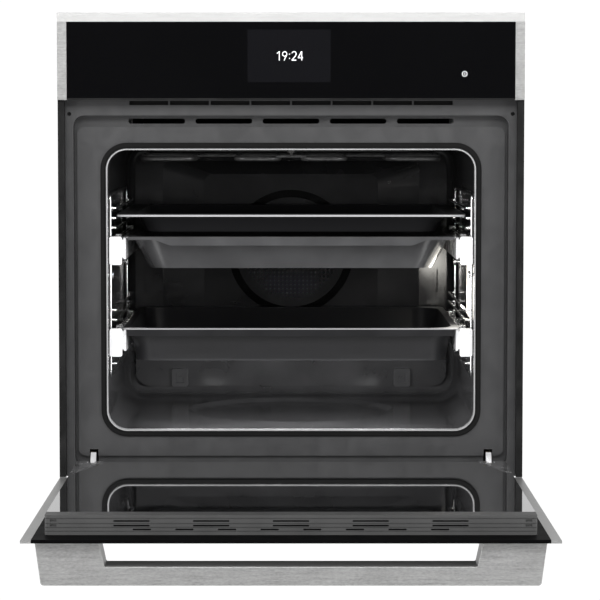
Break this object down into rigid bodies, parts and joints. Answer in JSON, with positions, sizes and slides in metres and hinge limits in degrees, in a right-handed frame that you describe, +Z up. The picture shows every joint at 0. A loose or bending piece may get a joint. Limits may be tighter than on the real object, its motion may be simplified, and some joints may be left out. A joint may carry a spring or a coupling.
{
  "type": "wall oven",
  "caption": "Built-in wall oven with a drop-down glass door, clock display, enamelled cavity with hot air fan and grill, and trays on shelf supports and telescopic runners.",
  "frame": {"origin": "middle of the width, in the front plane of the kitchen column, on the niche floor that the casing stands on", "axes": "+X is right seen from the front, +Y goes back into the niche, +Z is up; the door is open at rest"},
  "size_m": [0.595, 1.047, 0.649],
  "materials": {
    "brushed_steel": "fine brushed stainless steel",
    "black_glass": "polished black printed glass",
    "display_glass": "polished display window",
    "mirror_glass": "polished dark reflective door glass",
    "lamp_glass": "clear ribbed lamp glass",
    "galvanised_sheet": "zinc coated sheet",
    "dark_frame": "satin dark enamel",
    "cavity_enamel": "glossy dark enamel",
    "tray_enamel": "glossy dark enamel",
    "chrome_wire": "bright plated wire",
    "runner_steel": "bright stainless sheet",
    "hinge_steel": "bright plated steel",
    "heater_sheath": "dull oxidised sheath",
    "fan_metal": "plain aluminium",
    "motor_steel": "laminated motor steel",
    "black_plastic": "satin black moulding",
    "circuit": "circuit board and components",
    "seal_rubber": "matte silicone",
    "mineral_wool": "mineral wool with foil"
  },
  "bodies": {
    "oven": {"casing_base": "galvanised_sheet", "casing_right": "galvanised_sheet", "casing_left": "galvanised_sheet", "casing_top": "galvanised_sheet", "casing_back": "galvanised_sheet", "front_frame": "dark_frame", "side_trims": "black_plastic", "panel_bezel": "brushed_steel", "panel_glass": "black_glass", "display_window": "display_glass", "panel_carrier": "black_plastic", "power_sensor": "circuit", "control_module": "circuit", "cavity_muffle": "cavity_enamel", "cavity_trim_ring": "hinge_steel", "door_seal": "seal_rubber", "insulation_blanket": "mineral_wool", "bottom_heater": "heater_sheath", "fan_cover": "cavity_enamel", "fan_grille": "cavity_enamel", "fan_cover_clips": "dark_frame", "convection_motor": "motor_steel", "ring_heater": "heater_sheath", "grill_hangers": "hinge_steel", "lamp_housing": "galvanised_sheet", "lamp_lens": "lamp_glass", "lamp_bulb": "lamp_glass", "shelf_support_right": "chrome_wire", "shelf_support_left": "chrome_wire", "support_studs": "chrome_wire", "upper_rail_right": "runner_steel", "upper_rail_left": "runner_steel", "lower_rail_right": "runner_steel", "lower_rail_left": "runner_steel", "cooling_housing": "galvanised_sheet", "cooling_motor": "motor_steel", "mains_inlet": "black_plastic", "hinge_arms": "hinge_steel"},
    "door": {"door_steel_frame": "brushed_steel", "door_glass_outer": "black_glass", "door_box": "brushed_steel", "door_glass_inner": "mirror_glass", "door_glass_middle": "black_glass", "door_top_vent": "black_plastic", "door_handle": "brushed_steel", "hinge_channels": "hinge_steel", "hinge_covers": "hinge_steel"},
    "hot_air_fan": {"convection_fan": "fan_metal"},
    "cooling_fan": {"cooling_wheel": "black_plastic"},
    "grill": {"grill_element": "heater_sheath"},
    "baking_shelf": {"baking_tray": "tray_enamel"},
    "upper_shelf": {"upper_carriage_right": "runner_steel", "upper_carriage_left": "runner_steel", "universal_tray": "tray_enamel"},
    "upper_slide_pair": {"upper_slides": "runner_steel"},
    "lower_shelf": {"lower_carriage_right": "runner_steel", "lower_carriage_left": "runner_steel", "deep_tray": "tray_enamel"},
    "lower_slide_pair": {"lower_slides": "runner_steel"}
  },
  "joints": [
    {"name": "door_hinge", "type": "hinge", "parent": "oven", "child": "door", "pos_m": [0, -0.015, 0.001], "axis": [1, 0, 0], "range_deg": [-90, 0]},
    {"name": "hot_air_fan_spin", "type": "hinge", "parent": "oven", "child": "hot_air_fan", "pos_m": [0, 0.41, 0.2655], "axis": [0, 1, 0], "continuous": true},
    {"name": "cooling_fan_spin", "type": "hinge", "parent": "oven", "child": "cooling_fan", "pos_m": [0, 0.33, 0.49], "axis": [0, 0, 1], "continuous": true},
    {"name": "grill_fold", "type": "hinge", "parent": "oven", "child": "grill", "pos_m": [0, 0.385, 0.4075], "axis": [1, 0, 0], "range_deg": [0, 10]},
    {"name": "baking_tray_slide", "type": "slide", "parent": "oven", "child": "baking_shelf", "axis": [0, -1, 0], "range_m": [0, 0.2]},
    {"name": "upper_runner_slide", "type": "slide", "parent": "oven", "child": "upper_shelf", "axis": [0, -1, 0], "range_m": [0, 0.3]},
    {"name": "upper_middle_slide", "type": "slide", "parent": "oven", "child": "upper_slide_pair", "axis": [0, -1, 0], "range_m": [0, 0.15]},
    {"name": "lower_runner_slide", "type": "slide", "parent": "oven", "child": "lower_shelf", "axis": [0, -1, 0], "range_m": [0, 0.3]},
    {"name": "lower_middle_slide", "type": "slide", "parent": "oven", "child": "lower_slide_pair", "axis": [0, -1, 0], "range_m": [0, 0.15]}
  ],
  "couplings": [
    {"joint": "upper_middle_slide", "follows": "upper_runner_slide", "ratio": 0.5},
    {"joint": "lower_middle_slide", "follows": "lower_runner_slide", "ratio": 0.5}
  ]
}
